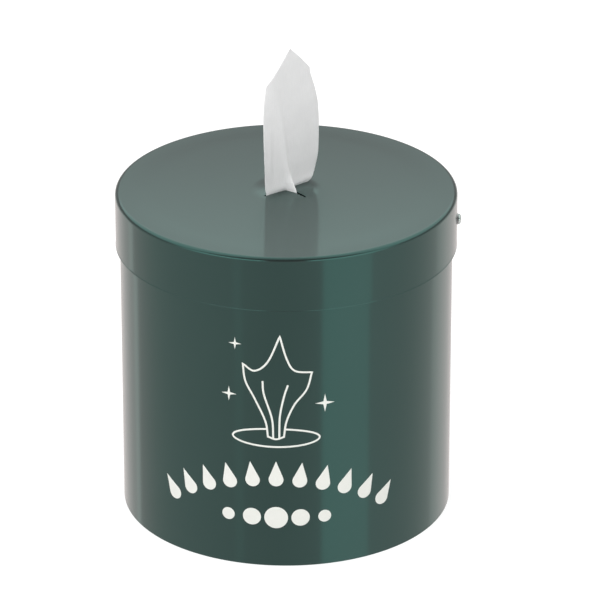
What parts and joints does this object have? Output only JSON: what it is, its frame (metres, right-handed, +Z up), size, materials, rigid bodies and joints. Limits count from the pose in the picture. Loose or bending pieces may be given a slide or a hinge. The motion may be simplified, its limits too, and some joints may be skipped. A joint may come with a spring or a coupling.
{
  "type": "wall-mounted wipe dispenser",
  "caption": "Round sheet-steel can for a centre-pull roll of wipes, with a lift-off cap that has a cross-cut outlet and a locking screw, hung on a wall by a back bracket.",
  "frame": {"origin": "middle of the can's underside, on the can's axis", "axes": "+Z up along the can's axis, -Y out of the printed front, +Y towards the wall, +X to the side with the lock screw"},
  "size_m": [0.2636, 0.2673, 0.3693],
  "materials": {
    "green_paint": "smooth semi-gloss dark green",
    "painted_screw": "bright screw with a thin green coat",
    "zinc": "zinc plated",
    "white_wipe": "matt non-woven, moist",
    "white_ink": "satin screen print"
  },
  "bodies": {
    "can": {"can_wall": "green_paint", "can_base": "green_paint", "mounting_bracket": "green_paint", "bracket_rivet_1": "zinc", "bracket_rivet_2": "zinc", "bracket_rivet_3": "zinc", "bracket_rivet_4": "zinc", "wipe_roll": "white_wipe", "next_wipe": "white_wipe", "print_drop_1": "white_ink", "print_drop_2": "white_ink", "print_drop_3": "white_ink", "print_drop_4": "white_ink", "print_drop_5": "white_ink", "print_drop_6": "white_ink", "print_drop_7": "white_ink", "print_drop_8": "white_ink", "print_drop_9": "white_ink", "print_drop_10": "white_ink", "print_drop_11": "white_ink", "print_disc_1": "white_ink", "print_disc_2": "white_ink", "print_disc_3": "white_ink", "print_disc_4": "white_ink", "print_disc_5": "white_ink", "print_sheet": "white_ink", "print_sparkle_1": "white_ink", "print_sparkle_2": "white_ink", "print_sparkle_3": "white_ink"},
    "cap": {"lid": "green_paint", "lock_nut": "zinc", "pulled_wipe": "white_wipe"},
    "washer": {"lock_washer": "zinc"},
    "screw": {"lock_screw": "painted_screw"}
  },
  "joints": [
    {"name": "lid_lift", "type": "slide", "parent": "can", "child": "cap", "axis": [0, 0, 1], "range_m": [0, 0.1]},
    {"name": "lock_travel", "type": "slide", "parent": "cap", "child": "washer", "axis": [1, 0, 0], "range_m": [0, 0.0021]},
    {"name": "lock_turn", "type": "hinge", "parent": "washer", "child": "screw", "pos_m": [0.131, 0, 0.23505], "axis": [1, 0, 0], "range_deg": [0, 1080]}
  ],
  "couplings": [
    {"joint": "lock_turn", "follows": "lock_travel", "rad_per_m": 8970}
  ]
}
